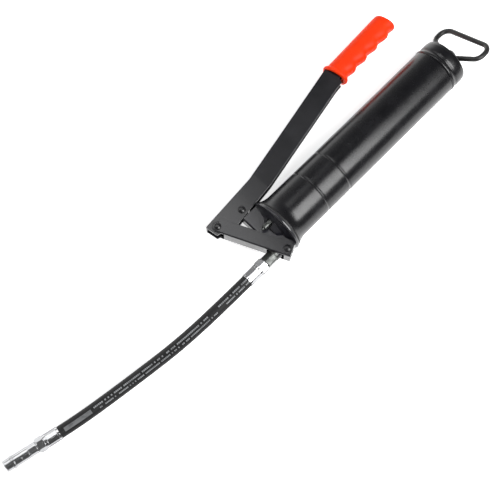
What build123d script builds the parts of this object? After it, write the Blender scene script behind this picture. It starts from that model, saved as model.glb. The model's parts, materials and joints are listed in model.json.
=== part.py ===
"""Lever grease gun with a flexible hose, built up piece by piece.

The gun's own frame has its origin on the barrel axis at the front face of the flange: x runs forward along
the barrel, y towards the outlet, and z square to the lever's plane. Each piece is made there and then laid
down, so that flange, rear cap and grip rest on the ground at z = 0 of the row frame.
"""

from math import atan2, cos, degrees, pi, radians, sin, tan
import os

from build123d import *

os.makedirs("parts", exist_ok=True)

# Lying on the ground: roll about the barrel axis, pitch from the wider flange to the slimmer rear cap.
ROLL = 12.0
FLANGE_R = 33.0
CAP_R = 28.8
CAP_REAR_X = -280.0
PITCH = degrees(atan2(FLANGE_R - CAP_R, -CAP_REAR_X))
HEAD_X = 133.1  # the flange's front face, from the middle of the gun's box
AXIS_Y = 27.1  # the barrel axis, from the middle of the gun's box
GROUND_GAP = 0.05
LAID = Location((HEAD_X, AXIS_Y, FLANGE_R + GROUND_GAP), (0, -PITCH, 0)) * Location((0, 0, 0), (ROLL, 0, 0))

# Barrel: rolled steel tube with a flared mouth and two rolled grooves.
TUBE_R = 28.5
TUBE_BORE_R = 27.1
TUBE_FRONT_X = -5.3
TUBE_REAR_X = -258.3
FLARE_R = 31.6
FLARE_LENGTH = 13.0
GROOVE_XS = (-55.7, -90.2)
GROOVE_DEPTH = 0.6
GROOVE_HALF = 1.8

# Lever linkage: its three pivots in the gun's plane, and its rivets.
PIVOT_A = (46.5, -43.0)  # lever to link
PIVOT_B = (13.8, -38.2)  # lever to plunger
PIVOT_C = (11.0, 28.4)  # link to head
RIVET_R = 3.0
RIVET_HEAD_R = 4.3
RIVET_HEAD_H = 2.3
RUNNING = 0.05  # radial clearance of a running fit

SHEET = 2.0  # sheet thickness of the lever and the link
BEND_R = 1.6  # outside of the sheet's bends
LINK_HALF = 10.0
LINK_LEAN = 114.8  # direction of the link's straight edges, from +x
LINK_FRONT = 5.9  # from pivot A to the link's front web
LINK_REAR = 9.8
LINK_LENGTH = 85.5
LEVER_HALF = 7.7
LEVER_SLIM_HALF = 6.4

# Plunger and pump head.
PLUNGER_R = 4.0
BOSS_TOP = -29.9
BOSS_X = (6.8, 20.8)
HEAD_HALF = 7.6  # the head's thickness between the link's walls
EYE_HALF = 5.3
EYE_SLOT_R = 3.8
EYE_SLOT_TRAVEL = 2.1

# Outlet, hose and coupler.
OUTLET_Y = 20.8
ADAPTOR_R = 7.2
ADAPTOR_FLATS = 13.0
HOSE_R = 7.0
HOSE_BORE_R = 3.0
FERRULE_R = 7.8
NUT_FLATS = 15.0

# Grip: moulded sleeve over the lever's tang.
GRIP_START = (-175.4, -76.8)
GRIP_LEAN = 2.7  # from the barrel's direction
GRIP_LENGTH = 92.5
GRIP_WIDE = 13.3
GRIP_DEEP = 11.6
TANG_LENGTH = 76.0
FINGER_PITCH = 19.0

# Follower and its rod.
ROD_R = 4.0
FOLLOWER_X = -28.0
LOOP_TURN = 31.0  # the pull loop's turn about the rod, from the lever's plane
LOOP_WIRE_R = 3.0

# The hose's route in the row frame, from inside the near ferrule to inside the far one.
HOSE_ROUTE = [
    (182.62, 47.45, 38.12),
    (239.1, 47.45, 39.03),
    (296.9, 45.7, 25.5),
    (349.9, 39.5, 11.5),
    (401.4, 32.4, 7.8),
    (437.4, 26.4, 8.6),
    (467.9, 19.7, 9.3),
]


def finish(piece, name, on_gun=True):
    """Lays a piece of the gun down with it, labels it and writes it."""
    if on_gun:
        piece.part.move(LAID)
    piece.part.label = name
    export_step(piece.part, f"parts/{name}.step")


def turned(profile, axis_plane=Plane.XY):
    """A piece turned about the plane's own x direction, from (distance, radius) points."""
    with BuildPart() as piece:
        with BuildSketch(axis_plane):
            with BuildLine():
                Polyline(*profile, close=True)
            make_face()
        revolve(axis=Axis(axis_plane.origin, axis_plane.x_dir))
    return piece


def ring_profile(start, end, bore, outer):
    """The section of a plain ring."""
    return [(start, bore), (end, bore), (end, outer), (start, outer)]


def coil(radius, wire_r, length, turns, axis_plane):
    """A coil spring along the plane's own x direction, wound from its origin."""
    start = Plane(axis_plane.origin, z_dir=axis_plane.x_dir)
    with BuildPart() as piece:
        with BuildLine() as wire:
            Helix(pitch=length / turns, height=length, radius=radius, center=(0, 0, 0))
        with BuildSketch(Plane(origin=wire.line @ 0, z_dir=wire.line % 0)):
            Circle(wire_r)
        sweep(path=wire.line, is_frenet=True)
    piece.part.move(start.location)
    return piece


def along_x(x=0.0, y=0.0, z=0.0):
    """A plane whose x direction runs along the barrel, through the given point."""
    return Plane(origin=(x, y, z), x_dir=(1, 0, 0), z_dir=(0, 0, 1))


# --- Barrel and rear cap -------------------------------------------------------------------------------

with BuildPart() as barrel_tube:
    with BuildSketch():
        with BuildLine():
            Polyline((GROOVE_XS[0] + GROOVE_HALF, TUBE_R), (TUBE_FRONT_X - FLARE_LENGTH, TUBE_R))
            TangentArc(
                (TUBE_FRONT_X - FLARE_LENGTH, TUBE_R), (TUBE_FRONT_X, FLARE_R), tangent=(1, 0)
            )
            Polyline(
                (TUBE_FRONT_X, FLARE_R),
                (TUBE_FRONT_X, TUBE_BORE_R),
                (TUBE_REAR_X, TUBE_BORE_R),
                (TUBE_REAR_X, TUBE_R),
                (GROOVE_XS[1] - GROOVE_HALF, TUBE_R),
            )
            ThreePointArc(
                (GROOVE_XS[1] - GROOVE_HALF, TUBE_R),
                (GROOVE_XS[1], TUBE_R - GROOVE_DEPTH),
                (GROOVE_XS[1] + GROOVE_HALF, TUBE_R),
            )
            Line((GROOVE_XS[1] + GROOVE_HALF, TUBE_R), (GROOVE_XS[0] - GROOVE_HALF, TUBE_R))
            ThreePointArc(
                (GROOVE_XS[0] - GROOVE_HALF, TUBE_R),
                (GROOVE_XS[0], TUBE_R - GROOVE_DEPTH),
                (GROOVE_XS[0] + GROOVE_HALF, TUBE_R),
            )
        make_face()
    revolve(axis=Axis.X)
finish(barrel_tube, "barrel_tube")

barrel_seal = turned(ring_profile(TUBE_FRONT_X + 0.1, -3.6, TUBE_BORE_R + 0.1, FLARE_R - 0.3))
finish(barrel_seal, "barrel_seal")

CAP_SEAM_X = TUBE_REAR_X - 0.8
CAP_WALL_X = CAP_REAR_X + 3.0
CAP_BORE_R = 7.0
with BuildPart() as rear_cap:
    with BuildSketch():
        with BuildLine():
            Polyline(
                (TUBE_REAR_X + 9.0, TUBE_BORE_R - 0.05),
                (TUBE_REAR_X, TUBE_BORE_R - 0.05),
                (TUBE_REAR_X, 27.6),
                (CAP_SEAM_X, 27.6),
                (CAP_SEAM_X, CAP_R),
                (CAP_REAR_X, CAP_R),
                (CAP_REAR_X, CAP_BORE_R),
                (CAP_WALL_X, CAP_BORE_R),
                (CAP_WALL_X, 25.4),
                (TUBE_REAR_X + 9.0, 25.4),
                close=True,
            )
        make_face()
    revolve(axis=Axis.X)
    rim = rear_cap.edges().filter_by(GeomType.CIRCLE).group_by(Axis.X)[0].sort_by(SortBy.RADIUS)[-1]
    fillet(rim, 1.8)
finish(rear_cap, "rear_cap")

rod_bush = turned(
    [
        (CAP_REAR_X - 1.2, ROD_R + RUNNING),
        (CAP_WALL_X + 2.0, ROD_R + RUNNING),
        (CAP_WALL_X + 2.0, 9.0),
        (CAP_WALL_X, 9.0),
        (CAP_WALL_X, CAP_BORE_R),
        (CAP_REAR_X - 1.2, CAP_BORE_R),
    ]
)
finish(rod_bush, "rod_bush")

# --- Follower, its rod and the pull loop ---------------------------------------------------------------

with BuildPart() as follower_cup:
    with BuildSketch():
        with BuildLine():
            Polyline(
                (FOLLOWER_X, ROD_R + RUNNING),
                (FOLLOWER_X, 24.5),
                (FOLLOWER_X + 3.0, 27.0),
                (FOLLOWER_X - 12.0, 27.0),
                (FOLLOWER_X - 12.0, 25.2),
                (FOLLOWER_X - 3.0, 24.0),
                (FOLLOWER_X - 3.0, ROD_R + RUNNING),
                close=True,
            )
        make_face()
    revolve(axis=Axis.X)
finish(follower_cup, "follower_cup")

front_washer = turned(ring_profile(FOLLOWER_X, FOLLOWER_X + 1.5, ROD_R + RUNNING, 20.0))
finish(front_washer, "follower_front_washer")
SPRING_SEAT_X = FOLLOWER_X - 4.5
rear_washer = turned(ring_profile(SPRING_SEAT_X, FOLLOWER_X - 3.0, ROD_R + RUNNING, 22.0))
finish(rear_washer, "follower_rear_washer")

follower_spring = coil(
    radius=21.0,
    wire_r=1.3,
    length=SPRING_SEAT_X - CAP_WALL_X - 3.6,
    turns=14,
    axis_plane=Plane(origin=(CAP_WALL_X + 1.8, 0, 0), x_dir=(1, 0, 0), z_dir=(0, 0, 1)),
)
finish(follower_spring, "follower_spring")

ROD_FRONT_X = FOLLOWER_X + 7.5
HUB_X = (-291.5, -282.0)
pull_rod = turned([(HUB_X[0] + 2, 0), (ROD_FRONT_X, 0), (ROD_FRONT_X, ROD_R), (HUB_X[0] + 2, ROD_R)])
finish(pull_rod, "pull_rod")

with BuildPart() as rod_nut:
    with BuildSketch(Plane.YZ.offset(FOLLOWER_X + 1.6)):
        RegularPolygon(radius=6.5, side_count=6, major_radius=False)
        Circle(ROD_R, mode=Mode.SUBTRACT)
    extrude(amount=5.0)
finish(rod_nut, "rod_nut")

rod_circlip = turned(ring_profile(SPRING_SEAT_X - 1.3, SPRING_SEAT_X - 0.1, ROD_R, 6.6))
finish(rod_circlip, "rod_circlip")

loop_hub = turned(
    [
        (HUB_X[0], 0),
        (HUB_X[0], 5.4),
        (HUB_X[0] + 1.6, 7.0),
        (HUB_X[1], 7.0),
        (HUB_X[1], ROD_R),
        (HUB_X[0] + 2, ROD_R),
        (HUB_X[0] + 2, 0),
    ]
)
finish(loop_hub, "loop_hub")

LOOP_HALF = 35.0
LOOP_BACK_X = -318.8
LOOP_SHOULDER_X = -298.0
LOOP_CORNER_R = 10.5
loop_plane = Plane(
    origin=(0, 0, 0),
    x_dir=(1, 0, 0),
    z_dir=(0, -sin(radians(LOOP_TURN)), cos(radians(LOOP_TURN))),
)
with BuildPart() as pull_loop:
    with BuildLine(loop_plane) as loop_line:
        FilletPolyline(
            (-286.5, 6.4),
            (LOOP_SHOULDER_X, LOOP_HALF),
            (LOOP_BACK_X, LOOP_HALF),
            (LOOP_BACK_X, -LOOP_HALF),
            (LOOP_SHOULDER_X, -LOOP_HALF),
            (-286.5, -6.4),
            radius=LOOP_CORNER_R,
        )
    with BuildSketch(Plane(origin=loop_line.line @ 0, z_dir=loop_line.line % 0)):
        Circle(LOOP_WIRE_R)
    sweep(path=loop_line.wire())
finish(pull_loop, "pull_loop")

# --- Pump head -----------------------------------------------------------------------------------------

BORE_X = PIVOT_B[0]  # the plunger's bore runs across the barrel here
BORE_END = 12.0
CUP_X = -5.0
SPIGOT_X = -16.0
VENT_YZ = (-5.0, 13.7)
CHAMBER_X = 15.5
BOSS_FRONT = 22.5
EAR_R = 5.7
with BuildPart() as pump_head:
    with BuildSketch():
        with BuildLine():
            Polyline(
                (SPIGOT_X, 23.0),
                (SPIGOT_X, 27.0),
                (-3.5, 27.0),
                (-3.5, FLANGE_R),
                (0.0, FLANGE_R),
                (0.0, 28.0),
                (3.0, 20.0),
                (3.0, 17.0),
                (8.5, 12.0),
                (8.5, 0),
                (CUP_X, 0),
                (CUP_X, 23.0),
                close=True,
            )
        make_face()
    revolve(axis=Axis.X)
    with BuildSketch():
        with BuildLine():
            Polyline(
                (-1.0, -16.0),
                (-1.0, -29.8),
                (BOSS_X[0], BOSS_TOP),
                (BOSS_X[1], BOSS_TOP),
                (BOSS_X[1], -6.0),
                (18.0, -2.0),
                (18.0, 16.0),
                (12.0, 20.0),
                (12.0, 22.0),
                (6.0, 31.2),
                (-1.0, 31.2),
                close=True,
            )
        make_face()
        with Locations(PIVOT_C):
            Circle(EAR_R)
    extrude(amount=HEAD_HALF, both=True)
    with BuildSketch(Plane.YZ):
        with Locations((OUTLET_Y, 0)):
            Circle(HEAD_HALF)
    extrude(amount=BOSS_FRONT)
    lip = pump_head.edges().filter_by(GeomType.CIRCLE).filter_by(lambda e: e.radius > FLANGE_R - 0.1)
    fillet(lip, 1.3)
    boss_edges = (
        pump_head.edges()
        .filter_by(Axis.Y)
        .filter_by(lambda e: e.center().X > BOSS_X[1] - 0.1 and abs(abs(e.center().Z) - HEAD_HALF) < 0.1)
    )
    fillet(boss_edges, 2.0)
    with BuildSketch(Plane.XZ.offset(-BOSS_TOP)):
        with Locations((BORE_X, 0)):
            Circle(PLUNGER_R + RUNNING)
    extrude(amount=BOSS_TOP - BORE_END, mode=Mode.SUBTRACT)
    with BuildSketch(Plane.XZ.offset(-BOSS_TOP)):
        with Locations((BORE_X, 0)):
            Circle(5.6)
    extrude(amount=-4.0, mode=Mode.SUBTRACT)
    with BuildSketch(Plane.XZ.offset(-BORE_END + 0.5)):
        with Locations((BORE_X, 0)):
            Circle(2.4)
    extrude(amount=-(OUTLET_Y - BORE_END), mode=Mode.SUBTRACT)
    with BuildSketch(Plane.YZ.offset(CHAMBER_X)):
        with Locations((OUTLET_Y, 0)):
            Circle(5.0)
    extrude(amount=BOSS_FRONT - CHAMBER_X, mode=Mode.SUBTRACT)
    with BuildSketch(Plane.YZ.offset(CUP_X)):
        with Locations((3.0, 0)):
            Circle(3.5)
    extrude(amount=BORE_X - CUP_X, mode=Mode.SUBTRACT)
    with BuildSketch(Plane.YZ.offset(CUP_X)):
        with Locations(VENT_YZ):
            Circle(2.5)
    extrude(amount=10.0, mode=Mode.SUBTRACT)
    with BuildSketch(Plane.YZ.offset(3.1)):
        with Locations(VENT_YZ):
            Circle(4.3)
    extrude(amount=8.0, mode=Mode.SUBTRACT)
    with Locations((*PIVOT_C, 0)):
        Cylinder(RIVET_R + RUNNING, 2 * HEAD_HALF + 1, mode=Mode.SUBTRACT)
finish(pump_head, "pump_head")

across = Plane(origin=(BORE_X, 0, 0), x_dir=(0, 1, 0), z_dir=(0, 0, 1))
plunger_packing = turned(
    ring_profile(BOSS_TOP + 1.7, BOSS_TOP + 3.9, PLUNGER_R + RUNNING, 5.5), across
)
finish(plunger_packing, "plunger_packing")
gland_ring = turned(ring_profile(BOSS_TOP, BOSS_TOP + 1.6, PLUNGER_R + RUNNING, 5.5), across)
finish(gland_ring, "gland_ring")

# --- Plunger -------------------------------------------------------------------------------------------

EYE_TOP = PIVOT_B[1] - 6.8
EYE_BOTTOM = PIVOT_B[1] + 6.0
with BuildPart() as plunger:
    with BuildSketch(Plane.XZ.offset(1.0 - EYE_BOTTOM)):
        with Locations((BORE_X, 0)):
            Circle(PLUNGER_R)
    extrude(amount=EYE_BOTTOM - BORE_END)
    with BuildSketch():
        with Locations((BORE_X, (EYE_TOP + EYE_BOTTOM) / 2)):
            RectangleRounded(17.6, EYE_BOTTOM - EYE_TOP, 4.0)
        with Locations(PIVOT_B):
            SlotCenterToCenter(2 * EYE_SLOT_TRAVEL, 2 * EYE_SLOT_R, mode=Mode.SUBTRACT)
    extrude(amount=EYE_HALF, both=True)
finish(plunger, "plunger")

# --- Vent valve ----------------------------------------------------------------------------------------

vent_axis = along_x(0, *VENT_YZ)
with BuildPart() as vent_body:
    with BuildSketch(vent_axis):
        with BuildLine():
            Polyline(
                (CUP_X + 0.2, 0.9),
                (CUP_X + 0.2, 2.45),
                (3.1, 2.45),
                (3.1, 3.1),
                (13.0, 3.1),
                (13.6, 2.5),
                (13.6, 1.4),
                (11.6, 1.4),
                (11.6, 2.1),
                (3.0, 2.1),
                (3.0, 0.9),
                close=True,
            )
        make_face()
    revolve(axis=Axis(vent_axis.origin, vent_axis.x_dir))
    with BuildSketch(Plane.YZ.offset(4.2)):
        with Locations(VENT_YZ):
            RegularPolygon(radius=3.25, side_count=6, major_radius=False)
            Circle(2.1, mode=Mode.SUBTRACT)
    extrude(amount=3.2)
finish(vent_body, "vent_body")

vent_pin = turned([(10.1, 0), (10.1, 1.9), (11.3, 1.9), (11.3, 1.3), (16.0, 1.3), (16.8, 0.7), (16.8, 0)],
                  vent_axis)
finish(vent_pin, "vent_pin")

vent_spring = coil(
    radius=1.55, wire_r=0.25, length=5.9, turns=6,
    axis_plane=Plane(origin=(3.4, *VENT_YZ), x_dir=(1, 0, 0), z_dir=(0, 0, 1)),
)
finish(vent_spring, "vent_spring")

# --- Link and lever ------------------------------------------------------------------------------------

link_dir = (cos(radians(LINK_LEAN)), sin(radians(LINK_LEAN)), 0)
link_plane = Plane(origin=(*PIVOT_A, 0), x_dir=link_dir, z_dir=(0, 0, 1))
pivot_c_on_link = link_plane.to_local_coords(Vector(*PIVOT_C, 0))
LINK_WIDTH = LINK_FRONT + LINK_REAR
LINK_MID = (LINK_REAR - LINK_FRONT) / 2
LINK_END_R = 6.2
LINK_BULGE = (76.0, 1.0)  # the walls swell here, beside the rivet into the head
LINK_BULGE_R = 11.6
WEB_GAP = (58.8, 78.4)  # where the outlet passes through the link's web
WEB_START = 9.5
with BuildPart() as link:
    with BuildSketch(link_plane):
        with Locations((LINK_LENGTH / 2, LINK_MID)):
            Rectangle(LINK_LENGTH, LINK_WIDTH)
        with Locations((0, LINK_END_R - LINK_FRONT)):
            Circle(LINK_END_R)
        with Locations(LINK_BULGE):
            Circle(LINK_BULGE_R)
        with Locations((LINK_LENGTH / 2 - 10, 30 - LINK_FRONT)):
            Rectangle(LINK_LENGTH + 20, 60, mode=Mode.INTERSECT)
    extrude(amount=LINK_HALF, both=True)
    bends = (
        link.edges()
        .filter_by(Axis(link_plane.origin, link_plane.x_dir))
        .group_by(Axis(link_plane.origin, link_plane.y_dir))[0]
    )
    fillet(bends, BEND_R)
    with BuildSketch(link_plane):
        with Locations((LINK_LENGTH / 2, 20 - LINK_FRONT + SHEET)):
            Rectangle(LINK_LENGTH + 30, 40)
        for start, end in ((-12.0, WEB_START), WEB_GAP):
            with Locations(((start + end) / 2, -LINK_FRONT)):
                Rectangle(end - start, 3 * SHEET)
    extrude(amount=LINK_HALF - SHEET, both=True, mode=Mode.SUBTRACT)
    with BuildSketch(link_plane):
        Circle(RIVET_R)
        with Locations((pivot_c_on_link.X, pivot_c_on_link.Y)):
            Circle(RIVET_R)
    extrude(amount=LINK_HALF + 1, both=True, mode=Mode.SUBTRACT)
finish(link, "link")


def rivet(pivot, half_grip):
    """A domed rivet through both walls, square to the lever's plane."""
    profile = [(0, 0), (half_grip + RIVET_HEAD_H, 0), (half_grip + RIVET_HEAD_H, 1.6),
               (half_grip + 1.3, 3.6), (half_grip + 0.4, RIVET_HEAD_R), (half_grip, RIVET_HEAD_R),
               (half_grip, RIVET_R), (0, RIVET_R)]
    axis_plane = Plane(origin=(*pivot, 0), x_dir=(0, 0, 1), z_dir=(1, 0, 0))
    with BuildPart() as piece:
        with BuildSketch(axis_plane):
            with BuildLine():
                Polyline(*profile, close=True)
            make_face()
        revolve(axis=Axis(axis_plane.origin, axis_plane.x_dir))
        mirror(about=Plane.XY)
    return piece


finish(rivet(PIVOT_A, LINK_HALF), "rivet_lever_link")
finish(rivet(PIVOT_C, LINK_HALF), "rivet_link_head")
finish(rivet(PIVOT_B, LEVER_HALF), "rivet_lever_plunger")

grip_dir = (-cos(radians(GRIP_LEAN)), -sin(radians(GRIP_LEAN)), 0)
grip_plane = Plane(origin=(*GRIP_START, 0), x_dir=grip_dir, z_dir=(0, 0, -1))
OUTER_EDGE = [(55.9, -51.9), (-17.7, -57.2), (-174.0, -89.0)]
INNER_EDGE = [
    (-174.0, -63.9),
    (-164.0, -62.8),
    (-30.0, -36.2),
    (-6.0, -33.4),
    (2.0, -32.9),
    (28.0, -29.6),
    (53.3, -36.7),
]


def lever_outline(inset):
    """The lever's side view, with its closed outer edge moved in by the sheet's thickness or not."""
    tang = [grip_plane.from_local_coords(p) for p in
            ((0.6, -10.2 + inset), (TANG_LENGTH, -7.0 + inset), (TANG_LENGTH, 7.0), (0.6, 7.0))]
    with BuildSketch(mode=Mode.PRIVATE) as outline:
        with BuildLine():
            Polyline(
                *[(x, y + inset) for x, y in OUTER_EDGE],
                *[(p.X, p.Y) for p in tang],
                *[(x, y + (3 * SHEET if inset else 0)) for x, y in INNER_EDGE],
                close=True,
            )
        make_face()
    return outline.sketch


LEVER_CLEAR = 100.0  # well past either edge of the lever


def lever_taper(gap):
    """The lever seen edge on: wide at the head, slimmer towards the grip."""
    with BuildSketch(Plane.XZ.offset(-LEVER_CLEAR), mode=Mode.PRIVATE) as taper:
        with BuildLine():
            top = [(60.0, LEVER_HALF - gap), (-25.0, LEVER_HALF - gap),
                   (-85.0, LEVER_SLIM_HALF - gap), (-260.0, LEVER_SLIM_HALF - gap)]
            Polyline(*top, *[(x, -z) for x, z in reversed(top)], close=True)
        make_face()
    return taper.sketch


with BuildPart() as lever_inside:
    extrude(lever_outline(SHEET), amount=LEVER_HALF, both=True)
    extrude(lever_taper(SHEET), amount=2 * LEVER_CLEAR, mode=Mode.INTERSECT)
with BuildPart() as lever:
    extrude(lever_outline(0), amount=LEVER_HALF, both=True)
    extrude(lever_taper(0), amount=2 * LEVER_CLEAR, mode=Mode.INTERSECT)
    corners = lever.edges().filter_by(Axis.Z).filter_by(lambda e: e.center().X > 50)
    fillet(corners, 1.2)
    add(lever_inside.part, mode=Mode.SUBTRACT)
    with Locations((*PIVOT_A, 0)):
        Cylinder(RIVET_R + RUNNING, 40, mode=Mode.SUBTRACT)
    with Locations((*PIVOT_B, 0)):
        Cylinder(RIVET_R, 40, mode=Mode.SUBTRACT)
finish(lever, "lever")

# --- Grip ----------------------------------------------------------------------------------------------

grip_across = Plane(origin=(*GRIP_START, 0), x_dir=(0, 0, 1), z_dir=grip_dir)
COLLAR_LENGTH = 4.0
with BuildPart() as lever_grip:
    with BuildSketch(grip_across):
        Ellipse(GRIP_DEEP + 1.2, GRIP_WIDE + 1.2)
    extrude(amount=COLLAR_LENGTH)
    with BuildSketch(grip_across):
        SlotOverall(2 * GRIP_WIDE, 2 * GRIP_DEEP, rotation=90)
    extrude(amount=GRIP_LENGTH)
    end = lever_grip.faces().sort_by(Axis.X)[0].edges()
    fillet(end, 6.0)
    collar = lever_grip.faces().sort_by(Axis.X)[-1].edges()
    fillet(collar, 1.2)
    with BuildSketch(grip_plane):
        with Locations(*[(FINGER_PITCH * (i + 1.0), -GRIP_WIDE - 6.3) for i in range(4)]):
            Circle(8.2)
    extrude(amount=GRIP_WIDE + 5, both=True, mode=Mode.SUBTRACT)
    extrude(lever_outline(0), amount=LEVER_SLIM_HALF, both=True, mode=Mode.SUBTRACT)
finish(lever_grip, "lever_grip")

# --- Outlet valve and adaptor --------------------------------------------------------------------------

outlet_axis = along_x(0, OUTLET_Y, 0)
BALL_R = 3.0
BALL_X = 22.85
ADAPTOR_FRONT = 38.6
NUT_LENGTH = 9.5
STEM_TAIL = 18.0
FERRULE_START = ADAPTOR_FRONT + NUT_LENGTH
FERRULE_LENGTH = 17.5
CRIMP_MARGIN = 2.5
def flats(axis_plane, at, apothem, sides):
    """What is cut away to leave flats round an axis, as a ring with a polygon hole."""
    with BuildSketch(
        Plane(origin=axis_plane.from_local_coords((at, 0, 0)), z_dir=axis_plane.x_dir), mode=Mode.PRIVATE
    ) as waste:
        Circle(2 * apothem)
        RegularPolygon(radius=apothem, side_count=sides, major_radius=False, mode=Mode.SUBTRACT)
    return waste.sketch


with BuildPart() as outlet_adaptor:
    with BuildSketch(outlet_axis):
        with BuildLine():
            Polyline(
                (18.0, 2.0),
                (18.0, 4.95),
                (BOSS_FRONT, 4.95),
                (BOSS_FRONT, ADAPTOR_R),
                (ADAPTOR_FRONT - 0.6, ADAPTOR_R),
                (ADAPTOR_FRONT, ADAPTOR_R - 0.6),
                (ADAPTOR_FRONT, 4.4),
                (30.0, 4.4),
                (30.0, 3.6),
                (20.5, 3.6),
                (20.5, 2.0),
                close=True,
            )
        make_face()
    revolve(axis=Axis(outlet_axis.origin, outlet_axis.x_dir))
    extrude(
        flats(outlet_axis, 25.5, ADAPTOR_FLATS / 2, 6),
        amount=ADAPTOR_FRONT - 1.2 - 25.5,
        mode=Mode.SUBTRACT,
    )
finish(outlet_adaptor, "outlet_adaptor")

with BuildPart() as valve_ball:
    with Locations((BALL_X, OUTLET_Y, 0)):
        Sphere(BALL_R)
finish(valve_ball, "valve_ball")

valve_spring = coil(
    radius=2.5, wire_r=0.35, length=3.2, turns=4,
    axis_plane=Plane(origin=(26.5, OUTLET_Y, 0), x_dir=(1, 0, 0), z_dir=(0, 0, 1)),
)
finish(valve_spring, "valve_spring")


def hose_end(axis_plane, start, forward, tail, nose):
    """A hex nut with a barbed tail in the hose and a threaded nose; forward, +1 or -1, is the hose's side."""
    nut_far = start + forward * NUT_LENGTH
    bore = 1.6
    with BuildPart() as piece:
        with BuildSketch(axis_plane):
            with BuildLine():
                Polyline(
                    (start - forward * nose, bore),
                    (start - forward * nose, 4.3),
                    (start, 4.3),
                    (start, NUT_FLATS / 2),
                    (nut_far, NUT_FLATS / 2),
                    (nut_far, HOSE_BORE_R - 0.1),
                    (nut_far + forward * tail, HOSE_BORE_R - 0.1),
                    (nut_far + forward * tail, bore),
                    close=True,
                )
            make_face()
        revolve(axis=Axis(axis_plane.origin, axis_plane.x_dir))
        low = min(start, nut_far)
        across_hose = Plane(
            origin=axis_plane.from_local_coords((low + 1.0, 0, 0)), z_dir=axis_plane.x_dir
        )
        with BuildSketch(across_hose):
            RegularPolygon(radius=NUT_FLATS / 2, side_count=6, major_radius=False)
            Circle(NUT_FLATS / 2 - 0.5, mode=Mode.SUBTRACT)
        extrude(amount=NUT_LENGTH - 2.0)
    return piece


def ferrule(axis_plane, start, forward):
    """A sleeve crimped over the hose's end by eight flat dies; forward is the hose's side."""
    end = start + forward * FERRULE_LENGTH
    web = start + forward * 1.5
    with BuildPart() as piece:
        with BuildSketch(axis_plane):
            with BuildLine():
                Polyline(
                    (start, HOSE_BORE_R),
                    (start, FERRULE_R),
                    (end, FERRULE_R),
                    (end, HOSE_R),
                    (web, HOSE_R),
                    (web, HOSE_BORE_R),
                    close=True,
                )
            make_face()
        revolve(axis=Axis(axis_plane.origin, axis_plane.x_dir))
        crimp_from = min(start, end) + CRIMP_MARGIN
        extrude(
            flats(axis_plane, crimp_from, FERRULE_R - 0.35, 8),
            amount=FERRULE_LENGTH - 2 * CRIMP_MARGIN,
            mode=Mode.SUBTRACT,
        )
    return piece


finish(hose_end(outlet_axis, ADAPTOR_FRONT, 1, STEM_TAIL, 8.0), "hose_nut_near")
finish(ferrule(outlet_axis, FERRULE_START, 1), "ferrule_near")

# --- Hose ----------------------------------------------------------------------------------------------

points = [Vector(*p) for p in HOSE_ROUTE]
runs = [b - a for a, b in zip(points, points[1:])]
turns = [a.get_angle(b) for a, b in zip(runs, runs[1:])]
radii = [0.45 * min(a.length, b.length) / tan(radians(t) / 2) for a, b, t in zip(runs, runs[1:], turns)]
with BuildPart() as hose:
    with BuildLine() as hose_line:
        FilletPolyline(*points, radius=radii)
    with BuildSketch(Plane(origin=hose_line.line @ 0, z_dir=hose_line.line % 0)):
        Circle(HOSE_R)
        Circle(HOSE_BORE_R, mode=Mode.SUBTRACT)
    sweep()
finish(hose, "hose", on_gun=False)
section = pi * (HOSE_R**2 - HOSE_BORE_R**2)
print("hose turns", [round(t, 1) for t in turns], "radii", [round(r) for r in radii])
hose_length = hose_line.wire().length
print("hose length", round(hose_length, 1), "volume over section times length",
      round(hose.part.volume / (section * hose_length), 5))

# --- Coupler on the hose's end -------------------------------------------------------------------------

end_dir = runs[-1].normalized()
coupler_axis = Plane(origin=points[-1], x_dir=end_dir, z_dir=Vector(0, 0, 1) - end_dir * end_dir.Z)
FAR_FERRULE_END = 1.5  # the far ferrule's closed end, past the hose's end
finish(ferrule(coupler_axis, FAR_FERRULE_END, -1), "ferrule_far", on_gun=False)
COUPLER_X = FAR_FERRULE_END + NUT_LENGTH
finish(hose_end(coupler_axis, COUPLER_X, -1, STEM_TAIL, 6.0), "hose_nut_far", on_gun=False)

COUPLER_R = 6.6
NOSE_X = COUPLER_X + 19.0
TIP_X = COUPLER_X + 39.0
MOUTH_R = 3.5
BEAD_X = TIP_X - 9.8
BEAD_R = 7.5
BODY_FLATS = 12.2
BODY_FLATS_LENGTH = 9.0
with BuildPart() as coupler_body:
    with BuildSketch(coupler_axis):
        with BuildLine():
            Polyline(
                (COUPLER_X, 4.4),
                (COUPLER_X, COUPLER_R - 0.6),
                (COUPLER_X + 0.6, COUPLER_R),
                (NOSE_X, COUPLER_R),
                (NOSE_X, 5.2),
                (NOSE_X + 6.0, 5.2),
                (NOSE_X + 6.0, 4.2),
                (COUPLER_X + 8.0, 4.2),
                (COUPLER_X + 8.0, 4.4),
                close=True,
            )
        make_face()
    revolve(axis=Axis(coupler_axis.origin, coupler_axis.x_dir))
    extrude(
        flats(coupler_axis, COUPLER_X + 1.5, BODY_FLATS / 2, 6), amount=BODY_FLATS_LENGTH, mode=Mode.SUBTRACT
    )
finish(coupler_body, "coupler_body", on_gun=False)

coupler_nose = turned(
    [
        (NOSE_X, 5.3),
        (NOSE_X, COUPLER_R),
        (BEAD_X - 1.6, COUPLER_R),
        (BEAD_X - 1.0, BEAD_R),
        (BEAD_X + 1.0, BEAD_R),
        (BEAD_X + 1.6, COUPLER_R),
        (TIP_X - 1.2, COUPLER_R),
        (TIP_X, 5.6),
        (TIP_X, MOUTH_R),
        (TIP_X - 2.5, MOUTH_R),
        (TIP_X - 3.0, 4.2),
        (TIP_X - 7.5, 5.3),
    ],
    coupler_axis,
)
finish(coupler_nose, "coupler_nose", on_gun=False)

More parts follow.
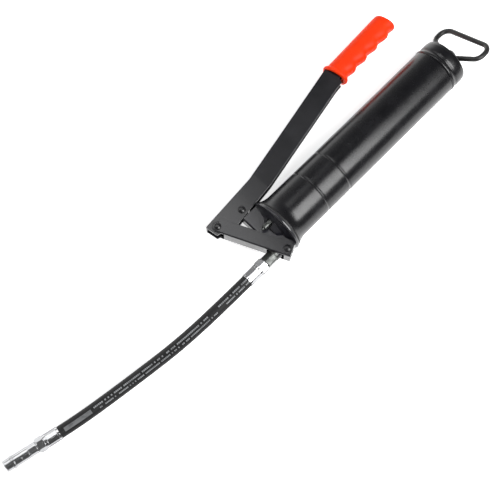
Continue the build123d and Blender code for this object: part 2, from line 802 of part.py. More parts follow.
JAW_SLIT = 0.9
with BuildPart() as coupler_jaws:
    with BuildSketch(coupler_axis):
        with BuildLine():
            Polyline(
                (TIP_X - 10.5, 3.1),
                (TIP_X - 10.5, 4.0),
                (TIP_X - 8.9, 4.6),
                (TIP_X - 7.8, 4.6),
                (TIP_X - 3.6, 3.7),
                (TIP_X - 3.6, 3.2),
                (TIP_X - 5.0, 3.1),
                close=True,
            )
        make_face()
    revolve(axis=Axis(coupler_axis.origin, coupler_axis.x_dir))
    slits = Plane(origin=coupler_axis.from_local_coords((TIP_X - 7.0, 0, 0)), z_dir=coupler_axis.x_dir)
    with BuildSketch(slits):
        Rectangle(20, JAW_SLIT)
        Rectangle(JAW_SLIT, 20)
    extrude(amount=10, both=True, mode=Mode.SUBTRACT)
finish(coupler_jaws, "coupler_jaws", on_gun=False)

coupler_seal = turned(
    [
        (TIP_X - 14.5, 1.3),
        (TIP_X - 14.5, 4.0),
        (TIP_X - 11.5, 4.0),
        (TIP_X - 11.0, 2.8),
        (TIP_X - 7.5, 2.8),
        (TIP_X - 7.5, 1.3),
    ],
    coupler_axis,
)
finish(coupler_seal, "coupler_seal", on_gun=False)

SPRING_START = COUPLER_X + 9.5
coupler_spring = coil(
    radius=3.3, wire_r=0.4, length=TIP_X - 15.6 - SPRING_START, turns=8,
    axis_plane=Plane(
        origin=coupler_axis.from_local_coords((SPRING_START, 0, 0)),
        x_dir=coupler_axis.x_dir,
        z_dir=coupler_axis.z_dir,
    ),
)
finish(coupler_spring, "coupler_spring", on_gun=False)
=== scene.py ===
"""Looks of a lever grease gun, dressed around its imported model, section by section in assembly order."""

import json
from math import cos, pi, radians, sin

import bmesh
import bpy
from mathutils import Matrix, Vector


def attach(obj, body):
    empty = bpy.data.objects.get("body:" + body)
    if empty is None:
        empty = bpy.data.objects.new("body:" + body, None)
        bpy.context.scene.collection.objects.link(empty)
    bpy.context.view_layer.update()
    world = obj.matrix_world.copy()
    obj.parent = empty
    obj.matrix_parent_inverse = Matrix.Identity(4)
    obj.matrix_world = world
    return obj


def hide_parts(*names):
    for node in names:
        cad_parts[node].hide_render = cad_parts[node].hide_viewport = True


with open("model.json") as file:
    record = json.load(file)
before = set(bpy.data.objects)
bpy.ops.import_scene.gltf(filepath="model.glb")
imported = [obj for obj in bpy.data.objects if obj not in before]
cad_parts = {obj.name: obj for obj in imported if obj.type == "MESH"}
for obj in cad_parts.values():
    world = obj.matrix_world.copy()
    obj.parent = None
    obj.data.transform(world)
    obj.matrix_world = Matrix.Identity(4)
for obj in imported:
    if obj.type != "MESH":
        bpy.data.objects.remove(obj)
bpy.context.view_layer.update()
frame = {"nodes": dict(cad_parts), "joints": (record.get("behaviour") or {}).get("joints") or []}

# --- Table, light and camera ---------------------------------------------------------------------------
# The gun lies on a plain white table under a large soft box, a small one over the lever and one low at the
# lever's side, in a bright room that darkens overhead and at the hose's side.
# The camera stands high above, turned so that the hose runs to the lower left.
CAMERA_PLACE = (0.4121, 0.0182, 1.2601)
CAMERA_TURN = (7.791, -7.902, 135.136)
LENS = 84.5
TABLE_HALF = 6.0

camera_data = bpy.data.cameras.new("camera")
camera_data.lens = LENS
camera = bpy.data.objects.new("camera", camera_data)
camera.location = CAMERA_PLACE
camera.rotation_euler = [radians(a) for a in CAMERA_TURN]
bpy.context.scene.collection.objects.link(camera)
bpy.context.scene.camera = camera
bpy.context.scene.view_settings.view_transform = "Standard"


def add_node(tree, kind, inputs=None, **settings):
    """A shader node with its settings; an input is a plain value or another node's socket."""
    made = tree.nodes.new(kind)
    for name, value in settings.items():
        setattr(made, name, value)
    for name, value in (inputs or {}).items():
        if isinstance(value, bpy.types.NodeSocket):
            tree.links.new(value, made.inputs[name])
        else:
            made.inputs[name].default_value = value
    return made


def table_top():
    """A white table top, large enough to fill every view."""
    mesh = bpy.data.meshes.new("table_top")
    corners = [(x * TABLE_HALF, y * TABLE_HALF, 0) for x, y in ((-1, -1), (1, -1), (1, 1), (-1, 1))]
    mesh.from_pydata(corners, [], [(0, 1, 2, 3)])
    table = bpy.data.objects.new("table_top", mesh)
    bpy.context.scene.collection.objects.link(table)
    paint = bpy.data.materials.new("table_white")
    paint.use_nodes = True
    surface = paint.node_tree.nodes["Principled BSDF"]
    surface.inputs["Base Color"].default_value = (0.9, 0.9, 0.9, 1)
    surface.inputs["Roughness"].default_value = 0.6
    surface.inputs["Specular IOR Level"].default_value = 0.2
    surface.inputs["Emission Color"].default_value = (1, 1, 1, 1)
    surface.inputs["Emission Strength"].default_value = 0.7
    mesh.materials.append(paint)


def soft_box(name, place, aim, size, watts):
    """A rectangular soft light at a place, facing the aim."""
    data = bpy.data.lights.new(name, "AREA")
    data.shape = "RECTANGLE"
    data.size, data.size_y = size
    data.energy = watts
    lamp = bpy.data.objects.new(name, data)
    lamp.location = place
    lamp.rotation_euler = (Vector(aim) - Vector(place)).to_track_quat("-Z", "Y").to_euler()
    bpy.context.scene.collection.objects.link(lamp)


def room_light(horizon, overhead, hose_side):
    """The room: bright walls, darker overhead and at the hose's side."""
    room = bpy.data.worlds.new("room")
    bpy.context.scene.world = room
    room.use_nodes = True
    tree = room.node_tree
    direction = add_node(tree, "ShaderNodeTexCoord").outputs["Generated"]
    parts = add_node(tree, "ShaderNodeSeparateXYZ", {"Vector": direction})
    up = add_node(
        tree, "ShaderNodeMapRange",
        {"Value": parts.outputs["Z"], "From Min": 0.05, "From Max": 0.75,
         "To Min": horizon, "To Max": overhead},
    )
    across = add_node(
        tree, "ShaderNodeMapRange",
        {"Value": parts.outputs["Y"], "From Min": 0.1, "From Max": 0.7,
         "To Min": 1.0, "To Max": hose_side},
    )
    share = add_node(
        tree, "ShaderNodeMath", {0: up.outputs["Result"], 1: across.outputs["Result"]}, operation="MULTIPLY"
    )
    tree.links.new(share.outputs[0], tree.nodes["Background"].inputs["Strength"])
    tree.nodes["Background"].inputs["Color"].default_value = (1, 1, 1, 1)


table_top()
room_light(horizon=0.55, overhead=0.1, hose_side=0.45)
soft_box("key_light", (-0.15, 0.78, 1.4), (0.0, 0.03, 0.0), (0.9, 1.3), 31)
soft_box("front_light", (0.0, -0.75, 1.4), (0.1, 0.0, 0.0), (0.5, 0.6), 3.2)
soft_box("side_light", (0.55, -1.15, 0.95), (0.45, 0.0, 0.0), (0.9, 1.0), 4.5)

# The gun's own directions and its lever pivot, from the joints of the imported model.
joints = {joint["name"]: joint for joint in frame["joints"]}
FORWARD = -Vector(joints["follower_pull"]["axis"])
ACROSS = Vector(joints["lever_pump"]["axis"])
SIDEWAYS = ACROSS.cross(FORWARD)
LEVER_PIVOT = Vector(joints["lever_pump"]["pos_m"])

# --- Barrel and rear cap -------------------------------------------------------------------------------
# A rolled steel tube with two rolled grooves and a flared mouth, and a pressed cap crimped on its rear.
# Both are powder coated gloss black; the coat has a faint orange peel, handling smears and worn rims.


def new_group(name, inputs, outputs):
    """An empty node group with named number inputs (name: default) and named outputs (name: kind)."""
    tree = bpy.data.node_groups.new(name, "ShaderNodeTree")
    for label, value in inputs.items():
        kind = "NodeSocketVector" if value is None else "NodeSocketFloat"
        socket = tree.interface.new_socket(label, in_out="INPUT", socket_type=kind)
        if value is not None:
            socket.default_value = value
    for label, kind in outputs.items():
        tree.interface.new_socket(label, in_out="OUTPUT", socket_type="NodeSocket" + kind)
    return tree, add_node(tree, "NodeGroupInput"), add_node(tree, "NodeGroupOutput")


def coat_skin_group():
    """The skin of a sprayed or dipped coat: orange peel bump, broad mottling and fine dust specks."""
    tree, given, result = new_group(
        "coat_skin",
        {"Peel Size": 900.0, "Peel Depth": 0.1, "Normal": None},
        {"Normal": "Vector", "Mottle": "Float", "Specks": "Float"},
    )
    place = add_node(tree, "ShaderNodeTexCoord").outputs["Object"]
    peel = add_node(
        tree, "ShaderNodeTexNoise",
        {"Vector": place, "Scale": given.outputs["Peel Size"], "Detail": 2.0, "Roughness": 0.45},
    )
    bump = add_node(
        tree, "ShaderNodeBump",
        {"Strength": given.outputs["Peel Depth"], "Distance": 0.0003, "Height": peel.outputs["Fac"],
         "Normal": given.outputs["Normal"]},
    )
    mottle = add_node(
        tree, "ShaderNodeTexNoise", {"Vector": place, "Scale": 38.0, "Detail": 5.0, "Roughness": 0.62}
    )
    specks = add_node(tree, "ShaderNodeTexNoise", {"Vector": place, "Scale": 1400.0, "Detail": 1.0})
    dust = add_node(
        tree, "ShaderNodeMapRange", {"Value": specks.outputs["Fac"], "From Min": 0.72, "From Max": 0.8}
    )
    tree.links.new(bump.outputs["Normal"], result.inputs["Normal"])
    tree.links.new(mottle.outputs["Fac"], result.inputs["Mottle"])
    tree.links.new(dust.outputs["Result"], result.inputs["Specks"])
    return tree


def edge_sheen_and_wear_group():
    """Rounded edges as a normal, and a broken mask of the edges: where handling rubs the finish off them, and
    on the cast head also where a highlight is painted.
    """
    tree, given, result = new_group(
        "edge_sheen_and_wear", {"Radius": 0.0006, "Amount": 0.5}, {"Normal": "Vector", "Sheen And Wear": "Float"}
    )
    rounded = add_node(tree, "ShaderNodeBevel", {"Radius": given.outputs["Radius"]}, samples=6)
    flat = add_node(tree, "ShaderNodeNewGeometry")
    lean = add_node(
        tree, "ShaderNodeVectorMath", {0: rounded.outputs["Normal"], 1: flat.outputs["Normal"]},
        operation="DOT_PRODUCT",
    )
    edge = add_node(
        tree, "ShaderNodeMapRange", {"Value": lean.outputs["Value"], "From Min": 0.97, "From Max": 0.8}
    )
    place = add_node(tree, "ShaderNodeTexCoord").outputs["Object"]
    patches = add_node(
        tree, "ShaderNodeTexNoise", {"Vector": place, "Scale": 240.0, "Detail": 6.0, "Roughness": 0.7}
    )
    broken = add_node(
        tree, "ShaderNodeMapRange", {"Value": patches.outputs["Fac"], "From Min": 0.45, "From Max": 0.62}
    )
    both = add_node(
        tree, "ShaderNodeMath", {0: edge.outputs["Result"], 1: broken.outputs["Result"]}, operation="MULTIPLY"
    )
    worn = add_node(
        tree, "ShaderNodeMath", {0: both.outputs[0], 1: given.outputs["Amount"]}, operation="MULTIPLY"
    )
    tree.links.new(rounded.outputs["Normal"], result.inputs["Normal"])
    tree.links.new(worn.outputs[0], result.inputs["Sheen And Wear"])
    return tree


COAT_SKIN = coat_skin_group()
EDGE_SHEEN_AND_WEAR = edge_sheen_and_wear_group()


def placed_group(tree, group, **inputs):
    """A node group set in a material's tree with its own values."""
    values = {name.replace("_", " "): value for name, value in inputs.items()}
    return add_node(tree, "ShaderNodeGroup", values, node_tree=group)


def mixed(tree, share, first, second):
    """A colour between two, by a share; colours are (r, g, b) or sockets."""
    made = add_node(tree, "ShaderNodeMix", data_type="RGBA")
    tree.links.new(share, made.inputs["Factor"])
    for socket, colour in ((made.inputs[6], first), (made.inputs[7], second)):
        if isinstance(colour, bpy.types.NodeSocket):
            tree.links.new(colour, socket)
        else:
            socket.default_value = (*colour, 1)
    return made.outputs[2]


def ranged(tree, value, low, high, start=0.3, end=0.7):
    """A number between low and high as the value goes from start to end."""
    return add_node(
        tree, "ShaderNodeMapRange",
        {"Value": value, "From Min": start, "From Max": end, "To Min": low, "To Max": high},
    ).outputs["Result"]


def new_finish(name, **constants):
    """A material with its surface shader's constant sockets set; gives the material, tree and shader."""
    made = bpy.data.materials.new(name)
    made.use_nodes = True
    surface = made.node_tree.nodes["Principled BSDF"]
    for label, value in constants.items():
        surface.inputs[label.replace("_", " ")].default_value = value
    return made, made.node_tree, surface


def black_coat(name, shade, roughness, peel, edge_sheen_and_wear_colour, sheen_and_wear_amount, edge=0.0006, coat=0.0):
    """A black paint or powder coat over steel: mottled, lightly peeled, lighter at its edges from wear, and on
    the cast head also from a painted highlight.
    """
    made, tree, surface = new_finish(name, Coat_Weight=coat, Coat_Roughness=0.12, Specular_IOR_Level=0.5)
    edges = placed_group(tree, EDGE_SHEEN_AND_WEAR, Radius=edge, Amount=sheen_and_wear_amount)
    skin = placed_group(
        tree, COAT_SKIN, Peel_Size=peel[0], Peel_Depth=peel[1], Normal=edges.outputs["Normal"]
    )
    mottled = mixed(
        tree, ranged(tree, skin.outputs["Mottle"], 0, 1), shade, tuple(c * 1.7 + 0.002 for c in shade)
    )
    dusty = mixed(tree, skin.outputs["Specks"], mottled, tuple(c * 2 + 0.03 for c in shade))
    # Lighter edges: worn coat, and on the cast head also a painted highlight along the flange's rim.
    sheen_and_wear_edges = mixed(tree, edges.outputs["Sheen And Wear"], dusty, edge_sheen_and_wear_colour)
    tree.links.new(sheen_and_wear_edges, surface.inputs["Base Color"])
    low, high = roughness
    smear = ranged(tree, skin.outputs["Mottle"], low, high)
    tree.links.new(smear, surface.inputs["Roughness"])
    tree.links.new(skin.outputs["Normal"], surface.inputs["Normal"])
    return made


def dress(finish, *names):
    """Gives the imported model's nodes their finish."""
    for name in names:
        frame["nodes"][name].material_slots[0].material = finish


BARREL_BLACK = black_coat(
    "barrel_black", (0.002, 0.002, 0.003), (0.23, 0.31), (700.0, 0.09), (0.12, 0.12, 0.13), 0.35
)
dress(BARREL_BLACK, "barrel_tube")

BARREL_MIDDLE = Vector(joints["barrel_unscrew"]["pos_m"])  # a point on the barrel's axis
CAP_REAR = 0.150  # from that point back to the cap's rear face
CAP_PROFILE = [  # millimetres forward of the rear face, and from the axis
    (30.6, 27.0), (21.8, 27.0), (21.6, 27.5), (20.9, 27.6), (20.8, 28.2), (20.0, 28.8), (18.8, 29.05),
    (17.5, 28.8), (16.7, 28.1), (15.8, 27.6),
    (14.6, 27.5), (13.7, 27.9), (12.8, 28.3), (11.0, 28.5), (4.8, 28.5), (3.6, 28.3), (2.8, 27.9),
    (2.2, 27.9), (1.4, 27.8), (0.6, 27.3), (0.1, 26.2), (0.0, 24.6), (0.4, 23.6), (0.6, 22.6),
    (0.6, 12.6), (0.4, 11.4), (0.0, 10.2), (0.0, 7.02), (3.0, 7.02), (3.0, 25.4), (30.6, 25.4),
]


def turned_piece(name, start, profile):
    """A closed mesh turned about the barrel's axis from a profile measured forward of the start."""
    shape = bmesh.new()
    rounds = 128
    rings = [
        [
            shape.verts.new(
                start + ahead * 0.001 * FORWARD
                + 0.001 * radius * (cos(2 * pi * k / rounds) * SIDEWAYS + sin(2 * pi * k / rounds) * ACROSS)
            )
            for k in range(rounds)
        ]
        for ahead, radius in profile
    ]
    for first, second in zip(rings, rings[1:] + rings[:1]):
        for k in range(rounds):
            after = (k + 1) % rounds
            shape.faces.new((first[k], first[after], second[after], second[k])).smooth = True
    bmesh.ops.recalc_face_normals(shape, faces=shape.faces)
    mesh = bpy.data.meshes.new(name)
    shape.to_mesh(mesh)
    shape.free()
    made = bpy.data.objects.new(name, mesh)
    bpy.context.scene.collection.objects.link(made)
    return made


cap = turned_piece("pressed_cap", BARREL_MIDDLE - CAP_REAR * FORWARD, CAP_PROFILE)
cap.data.materials.append(BARREL_BLACK)
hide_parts("rear_cap")
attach(cap, "barrel")

# --- Seals, springs, follower and its rod --------------------------------------------------------------
# Black nitrile rings and cup, and plain drawn or turned steel for the rod, washers, springs and bush.
# The rod carries the follower inside the barrel and ends outside the cap in the pull loop's hub.


def seal_rubber():
    """Smooth moulded nitrile rubber, slightly greyed where it is handled."""
    made, tree, surface = new_finish("seal_rubber", Specular_IOR_Level=0.35)
    skin = placed_group(tree, COAT_SKIN, Peel_Size=1600.0, Peel_Depth=0.15)
    colour = mixed(tree, skin.outputs["Mottle"], (0.012, 0.012, 0.013), (0.03, 0.03, 0.03))
    tree.links.new(colour, surface.inputs["Base Color"])
    tree.links.new(ranged(tree, skin.outputs["Mottle"], 0.5, 0.65), surface.inputs["Roughness"])
    return made


def bare_metal(name, light, dark, roughness, lines=0.2, axis=(1, 0, 0), painted_rim_shade=None):
    """Turned or drawn metal: fine lines round the axis, tarnish, polish on the edges, and a painted shade: a
    darker rim where the surface turns away from the view.
    """
    made, tree, surface = new_finish(name, Metallic=1.0)
    edges = placed_group(tree, EDGE_SHEEN_AND_WEAR, Radius=0.0004, Amount=1.0)
    place = add_node(tree, "ShaderNodeTexCoord").outputs["Object"]
    along = add_node(tree, "ShaderNodeVectorMath", {0: place, 1: axis}, operation="DOT_PRODUCT")
    lathe = add_node(
        tree, "ShaderNodeTexNoise", {"W": along.outputs["Value"], "Scale": 5200.0, "Detail": 3.0},
        noise_dimensions="1D",
    )
    tarnish = add_node(
        tree, "ShaderNodeTexNoise", {"Vector": place, "Scale": 160.0, "Detail": 6.0, "Roughness": 0.65}
    )
    colour = mixed(tree, ranged(tree, tarnish.outputs["Fac"], 0, 1), light, dark)
    polish_and_rim_shade = mixed(tree, edges.outputs["Sheen And Wear"], colour, tuple(min(1, c * 1.25) for c in light))
    if painted_rim_shade:
        # Painted shade: the colour darkens towards the outline, where the surface turns away from the view.
        painted_rim_mask = add_node(tree, "ShaderNodeLayerWeight", {"Blend": 0.5}).outputs["Facing"]
        polish_and_rim_shade = mixed(tree, ranged(tree, painted_rim_mask, 0, 1, 0.42, 0.72), polish_and_rim_shade, painted_rim_shade)
    tree.links.new(polish_and_rim_shade, surface.inputs["Base Color"])
    low, high = roughness
    tree.links.new(ranged(tree, tarnish.outputs["Fac"], low, high), surface.inputs["Roughness"])
    bump = add_node(
        tree, "ShaderNodeBump",
        {"Strength": lines, "Distance": 0.0001, "Height": lathe.outputs["Fac"],
         "Normal": edges.outputs["Normal"]},
    )
    tree.links.new(bump.outputs["Normal"], surface.inputs["Normal"])
    return made


SEAL_RUBBER = seal_rubber()
PLAIN_STEEL = bare_metal(
    "plain_steel", (0.56, 0.56, 0.57), (0.36, 0.36, 0.37), (0.22, 0.4), axis=tuple(FORWARD)
)
DARK_STEEL = bare_metal(
    "dark_steel", (0.12, 0.125, 0.12), (0.05, 0.052, 0.05), (0.3, 0.45), axis=tuple(FORWARD)
)
dress(SEAL_RUBBER, "barrel_seal", "follower_cup", "plunger_packing", "coupler_seal")
dress(
    PLAIN_STEEL, "rod_bush", "follower_spring", "follower_front_washer", "follower_rear_washer", "pull_rod",
    "rod_nut", "gland_ring", "vent_spring", "valve_spring", "valve_ball", "coupler_spring", "plunger",
)
dress(DARK_STEEL, "rod_circlip", "vent_pin", "vent_body")

# --- Pull loop -----------------------------------------------------------------------------------------
# A steel wire bent into a closed loop with a straight back, for two fingers to pull the follower back.
# It is welded into a turned hub on the rod's end, and both are dipped satin black.
LOOP_BLACK = black_coat(
    "loop_black", (0.009, 0.009, 0.009), (0.3, 0.42), (1000.0, 0.16), (0.10, 0.10, 0.10), 0.3
)
dress(LOOP_BLACK, "loop_hub", "pull_loop")

# --- Pump head -----------------------------------------------------------------------------------------
# An iron casting: a cup and flange for the barrel, a boss for the plunger and an ear for the link's rivet.
# It is machined for the plunger, the vent and the outlet, then painted black.
# Its lighter edges are partly worn paint and partly a painted highlight, the bright line on the flange's rim.
CAST_BLACK = black_coat(
    "cast_black", (0.006, 0.006, 0.009), (0.26, 0.38), (520.0, 0.22), (0.32, 0.32, 0.34), 0.7, edge=0.0009,
    coat=0.5,
)
dress(CAST_BLACK, "pump_head")

# --- Link, lever and rivets ----------------------------------------------------------------------------
# The link and the lever are pressed from steel sheet into channels and coated satin black.
# Three domed rivets, a little glossier and darker, join them to each other, the head and the plunger.
LEVER_BLACK = black_coat(
    "lever_black", (0.0035, 0.0035, 0.0052), (0.30, 0.38), (850.0, 0.12), (0.16, 0.16, 0.17), 0.5,
    edge=0.0009, coat=0.4,
)
RIVET_BLACK = black_coat(
    "rivet_black", (0.005, 0.005, 0.006), (0.24, 0.34), (900.0, 0.1), (0.2, 0.2, 0.21), 0.5, edge=0.0012
)
dress(LEVER_BLACK, "link", "lever")
dress(RIVET_BLACK, "rivet_lever_link", "rivet_link_head", "rivet_lever_plunger")

# --- Grip ----------------------------------------------------------------------------------------------
# A soft vinyl sleeve moulded onto the lever's tang: a rounded collar, four finger swells towards the
# barrel and a blunt, slightly oblique end, in orange-red with a fine matt grain.
GRIP_START = (-0.2219, -0.0338)  # from the lever's pivot, forward and sideways
GRIP_LEAN = 2.7
GRIP_LENGTH = 0.0925
GRIP_WIDE = 0.0133
GRIP_DEEP = 0.0116
GRIP_SHEAR = 0.17  # both ends lie aslant, further along on the finger side
COLLAR_LENGTH = 0.0050
COLLAR_PROUD = 0.0022
SWELL_PITCH = 0.0190
SWELL_DEPTH = 0.0022
END_ROUND = 0.0036

grip_along = (Matrix.Rotation(radians(GRIP_LEAN), 4, ACROSS) @ -FORWARD).normalized()
grip_inward = ACROSS.cross(-grip_along).normalized()
grip_origin = LEVER_PIVOT + GRIP_START[0] * FORWARD + GRIP_START[1] * SIDEWAYS


def smooth(value):
    """A smooth step from 0 to 1."""
    value = min(max(value, 0.0), 1.0)
    return value * value * (3 - 2 * value)


def finger_hollow(along):
    """How deep the finger side is hollowed: quickly down behind each swell, slowly up to the next."""
    phase = (along / SWELL_PITCH) % 1.0
    hollow = smooth(phase / 0.38) if phase < 0.38 else 1 - smooth((phase - 0.38) / 0.62)
    fade_in = smooth((along - COLLAR_LENGTH) / 0.006)
    return SWELL_DEPTH * hollow * fade_in


def grip_ring(along, turn):
    """The grip's section at a distance along and an angle round it, 0 towards the barrel."""
    wide, deep = GRIP_WIDE, GRIP_DEEP
    if along < COLLAR_LENGTH + 0.0015:
        bead = sin(pi * min(max(along / COLLAR_LENGTH, 0.0), 1.0)) ** 0.5 if along < COLLAR_LENGTH else 0.0
        wide += COLLAR_PROUD * bead
        deep += COLLAR_PROUD * bead
    inner = max(cos(turn), 0.0)
    hollow = finger_hollow(along) * smooth((cos(turn) + 0.15) / 0.75)
    squared = 1.0 / (abs(cos(turn)) ** 2.35 + abs(sin(turn)) ** 2.35) ** (1 / 2.35)
    in_plane = (wide * cos(turn)) * squared - hollow * (0.35 + 0.65 * inner)
    upright = (deep * sin(turn)) * squared
    return in_plane, upright


def moulded_grip():
    """The grip as one closed mesh of rings, from the mouth round the tang to the blunt end."""
    shape = bmesh.new()
    rounds, rows = 72, 120
    rings = []

    def ring(along, shrink):
        made = []
        for i in range(rounds):
            turn = 2 * pi * i / rounds
            in_plane, upright = grip_ring(along, turn)
            made.append(shape.verts.new(
                grip_origin + (along + GRIP_SHEAR * in_plane * shrink) * grip_along
                + in_plane * shrink * grip_inward + upright * shrink * ACROSS
            ))
        rings.append(made)

    for along, shrink in ((0.006, 0.70), (0.0012, 0.74), (0.0002, 0.82), (0.0, 0.90)):
        ring(along, shrink)
    body_end = GRIP_LENGTH - END_ROUND
    for i in range(1, rows + 1):
        ring(body_end * i / rows, 1.0)
    for i in range(1, 13):
        angle = (pi / 2) * i / 12
        ring(body_end + END_ROUND * sin(angle), 1 - (END_ROUND / GRIP_WIDE) * (1 - cos(angle)))
    for share in (0.6, 0.45, 0.3, 0.15):
        ring(GRIP_LENGTH + 0.0004 * (0.7 - share), share)
    for first, second in zip(rings, rings[1:]):
        for i in range(rounds):
            j = (i + 1) % rounds
            shape.faces.new((first[i], first[j], second[j], second[i]))
    shape.faces.new(rings[-1])
    shape.faces.new(list(reversed(rings[0])))
    bmesh.ops.recalc_face_normals(shape, faces=shape.faces)
    mesh = bpy.data.meshes.new("moulded_grip")
    shape.to_mesh(mesh)
    shape.free()
    mesh.polygons.foreach_set("use_smooth", [True] * len(mesh.polygons))
    grip = bpy.data.objects.new("moulded_grip", mesh)
    bpy.context.scene.collection.objects.link(grip)
    return grip


def grip_vinyl():
    """Orange-red vinyl: fine grain, slight mottling and scattered grubby specks."""
    made, tree, surface = new_finish(
        "grip_orange", Specular_IOR_Level=0.2, Subsurface_Weight=0.08, Subsurface_Scale=0.004
    )
    skin = placed_group(tree, COAT_SKIN, Peel_Size=1500.0, Peel_Depth=0.12)
    colour = mixed(
        tree, ranged(tree, skin.outputs["Mottle"], 0, 1), (0.86, 0.034, 0.001), (0.93, 0.044, 0.002)
    )
    grubby = mixed(tree, ranged(tree, skin.outputs["Specks"], 0, 0.5, 0, 1), colour, (0.5, 0.05, 0.015))
    tree.links.new(grubby, surface.inputs["Base Color"])
    tree.links.new(ranged(tree, skin.outputs["Mottle"], 0.42, 0.55), surface.inputs["Roughness"])
    tree.links.new(skin.outputs["Normal"], surface.inputs["Normal"])
    return made


grip = moulded_grip()
grip.data.materials.append(grip_vinyl())
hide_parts("lever_grip")
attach(grip, "lever")

# --- Outlet adaptor ------------------------------------------------------------------------------------
# A blackened steel body with six flats for a spanner, screwed into the head's outlet.
# It holds the check ball and its spring, and takes the hose's first nut.
dress(DARK_STEEL, "outlet_adaptor")

# --- Hose ----------------------------------------------------------------------------------------------
# Smooth black rubber over steel braid, 14 mm across, made on a straight mandrel and laid down stiffly.
# Its wrapper left a faint weave. Two rows of plain dashes and one plain bar are printed on its upper side.
HOSE_RADIUS = 0.0070
HOSE_ROUTE = [
    (0.18262, 0.04745, 0.03812),
    (0.2391, 0.04745, 0.03903),
    (0.2969, 0.0457, 0.0255),
    (0.3499, 0.0395, 0.0115),
    (0.4014, 0.0324, 0.0078),
    (0.4374, 0.0264, 0.0086),
    (0.4679, 0.0197, 0.0093),
]


def smooth_line(route, name):
    """Points along the smooth curve that the route's points control."""
    data = bpy.data.curves.new(name, "CURVE")
    data.dimensions = "3D"
    data.resolution_u = 24
    spline = data.splines.new("NURBS")
    spline.points.add(len(route) - 1)
    for point, place in zip(spline.points, route):
        point.co = (*place, 1)
    spline.order_u = 3
    spline.use_endpoint_u = True
    guide = bpy.data.objects.new(name, data)
    bpy.context.scene.collection.objects.link(guide)
    line = bpy.data.meshes.new_from_object(guide)
    places = [v.co.copy() for v in line.vertices]
    bpy.data.objects.remove(guide)
    bpy.data.meshes.remove(line)
    return places


def hose_tube(line):
    """The hose's outer skin round its line, with a map of metres along and turns round it."""
    shape = bmesh.new()
    rounds = 48
    seam = Vector((0, 0, -1))
    rings, distances, distance = [], [], 0.0
    for i, place in enumerate(line):
        ahead = (line[min(i + 1, len(line) - 1)] - line[max(i - 1, 0)]).normalized()
        down = (seam - seam.dot(ahead) * ahead).normalized()
        side = ahead.cross(down)
        if i:
            distance += (place - line[i - 1]).length
        distances.append(distance)
        rings.append([
            shape.verts.new(place + HOSE_RADIUS * (cos(t) * down + sin(t) * side))
            for t in (2 * pi * k / rounds for k in range(rounds))
        ])
    wrap = shape.loops.layers.uv.new("along_and_round")
    for i in range(len(line) - 1):
        for k in range(rounds):
            corners = [(i, k), (i, k + 1), (i + 1, k + 1), (i + 1, k)]
            face = shape.faces.new([rings[r][t % rounds] for r, t in corners])
            face.smooth = True
            for loop, (r, t) in zip(face.loops, corners):
                loop[wrap].uv = (distances[r], t / rounds)
    shape.faces.new(rings[0])
    shape.faces.new(list(reversed(rings[-1])))
    bmesh.ops.recalc_face_normals(shape, faces=shape.faces)
    mesh = bpy.data.meshes.new("hose_skin")
    shape.to_mesh(mesh)
    shape.free()
    made = bpy.data.objects.new("hose_skin", mesh)
    bpy.context.scene.collection.objects.link(made)
    return made, distance


def printed_dashes(tree, along, around, row, height, pitch, filled, gaps):
    """A mask of plain dashes in one row round the hose, in runs with gaps between them."""
    def maths(operation, first, second=0.0):
        return add_node(tree, "ShaderNodeMath", {0: first, 1: second}, operation=operation).outputs[0]

    off_row = maths("ABSOLUTE", maths("SUBTRACT", around, row))
    in_row = maths("LESS_THAN", off_row, height)
    counted = maths("DIVIDE", along, pitch)
    on_dash = maths("LESS_THAN", maths("FRACT", counted), filled)
    run = maths("FLOOR", maths("DIVIDE", along, pitch * 7))
    chance = add_node(tree, "ShaderNodeTexWhiteNoise", {"W": run}, noise_dimensions="1D").outputs["Value"]
    kept_run = maths("GREATER_THAN", chance, gaps)
    single = add_node(
        tree, "ShaderNodeTexWhiteNoise", {"W": maths("FLOOR", counted)}, noise_dimensions="1D"
    ).outputs["Value"]
    kept = maths("GREATER_THAN", single, 0.16)
    return maths("MULTIPLY", maths("MULTIPLY", in_row, on_dash), maths("MULTIPLY", kept_run, kept))


def plain_bar(tree, along, around, ends, sides):
    """A mask of one plain printed bar between two ends along and two sides round the hose."""
    inside = []
    for value, (low, high) in ((along, ends), (around, sides)):
        off = add_node(
            tree, "ShaderNodeMath", {0: value, 1: (low + high) / 2, 2: (high - low) / 2}, operation="COMPARE"
        )
        inside.append(off.outputs[0])
    return add_node(tree, "ShaderNodeMath", {0: inside[0], 1: inside[1]}, operation="MULTIPLY").outputs[0]


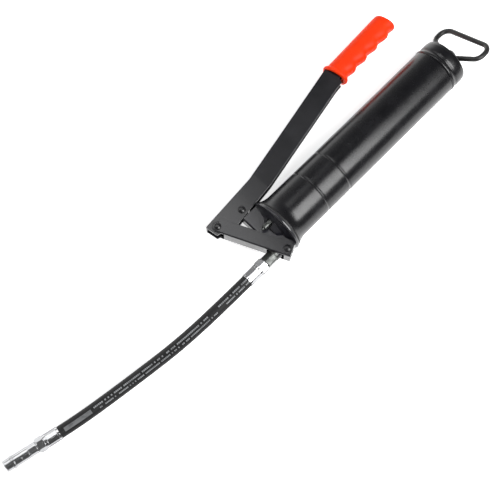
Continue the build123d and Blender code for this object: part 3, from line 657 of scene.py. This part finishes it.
def hose_rubber(length):
    """Matt black rubber with a woven imprint, light scuffs and the printed dashes."""
    made, tree, surface = new_finish("hose_rubber", Specular_IOR_Level=0.28)
    wrap = add_node(tree, "ShaderNodeUVMap", uv_map="along_and_round")
    parts = add_node(tree, "ShaderNodeSeparateXYZ", {"Vector": wrap.outputs["UV"]})
    along, around = parts.outputs["X"], parts.outputs["Y"]
    place = add_node(tree, "ShaderNodeTexCoord").outputs["Object"]
    scuffs = add_node(
        tree, "ShaderNodeTexNoise", {"Vector": place, "Scale": 120.0, "Detail": 7.0, "Roughness": 0.7}
    )
    rubber = mixed(
        tree, ranged(tree, scuffs.outputs["Fac"], 0, 1, 0.35, 0.75),
        (0.0065, 0.0065, 0.007), (0.018, 0.018, 0.019),
    )
    rows = [
        printed_dashes(tree, along, around, 0.535, 0.020, 0.0021, 0.78, 0.05),
        printed_dashes(tree, along, around, 0.445, 0.018, 0.0018, 0.72, 0.1),
    ]
    ink = add_node(tree, "ShaderNodeMath", {0: rows[0], 1: rows[1]}, operation="MAXIMUM").outputs[0]
    margin = add_node(
        tree, "ShaderNodeMath", {0: along, 1: length - 0.060}, operation="LESS_THAN"
    ).outputs[0]
    bar = plain_bar(tree, along, around, (length - 0.0560, length - 0.0220), (0.44, 0.55))
    worn = ranged(tree, scuffs.outputs["Fac"], 0.95, 0.4, 0.45, 0.7)
    ink = add_node(tree, "ShaderNodeMath", {0: ink, 1: margin}, operation="MULTIPLY").outputs[0]
    faint_bar = add_node(tree, "ShaderNodeMath", {0: bar, 1: 0.5}, operation="MULTIPLY").outputs[0]
    ink = add_node(tree, "ShaderNodeMath", {0: ink, 1: faint_bar}, operation="MAXIMUM").outputs[0]
    ink = add_node(tree, "ShaderNodeMath", {0: ink, 1: worn}, operation="MULTIPLY").outputs[0]
    tree.links.new(mixed(tree, ink, rubber, (0.30, 0.31, 0.32)), surface.inputs["Base Color"])
    tree.links.new(ranged(tree, scuffs.outputs["Fac"], 0.46, 0.62), surface.inputs["Roughness"])
    scaled = add_node(
        tree, "ShaderNodeCombineXYZ",
        {"X": add_node(tree, "ShaderNodeMath", {0: along, 1: 1.0 / (2 * pi * HOSE_RADIUS)},
                       operation="MULTIPLY").outputs[0], "Y": around},
    )
    weave = add_node(
        tree, "ShaderNodeTexWave", {"Vector": scaled.outputs["Vector"], "Scale": 26.0, "Distortion": 0.6},
        bands_direction="DIAGONAL",
    )
    bump = add_node(
        tree, "ShaderNodeBump", {"Strength": 0.22, "Distance": 0.0002, "Height": weave.outputs["Fac"]}
    )
    tree.links.new(bump.outputs["Normal"], surface.inputs["Normal"])
    return made


hose_line = smooth_line(HOSE_ROUTE, "hose_line")
hose, hose_measured = hose_tube(hose_line)
hose.data.materials.append(hose_rubber(hose_measured))
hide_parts("hose")
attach(hose, "root")

# --- Hose fittings and coupler -------------------------------------------------------------------------
# Free-cutting steel, turned, crimped on the hose and bright zinc plated: a hex nut and ferrule at each
# end, then the coupler's body and its screwed nose, with four hardened jaws and a seal inside the nose.
hose_end = Vector(HOSE_ROUTE[-1]) - Vector(HOSE_ROUTE[-2])
# The zinc's dark rim is painted shade along the fittings' outlines.
BRIGHT_ZINC = bare_metal(
    "bright_zinc", (0.60, 0.605, 0.615), (0.50, 0.505, 0.52), (0.12, 0.2), lines=0.06,
    axis=tuple(hose_end.normalized()), painted_rim_shade=(0.07, 0.07, 0.075),
)
dress(
    BRIGHT_ZINC, "hose_nut_near", "ferrule_near", "hose_nut_far", "ferrule_far", "coupler_body", "coupler_nose"
)
dress(DARK_STEEL, "coupler_jaws")
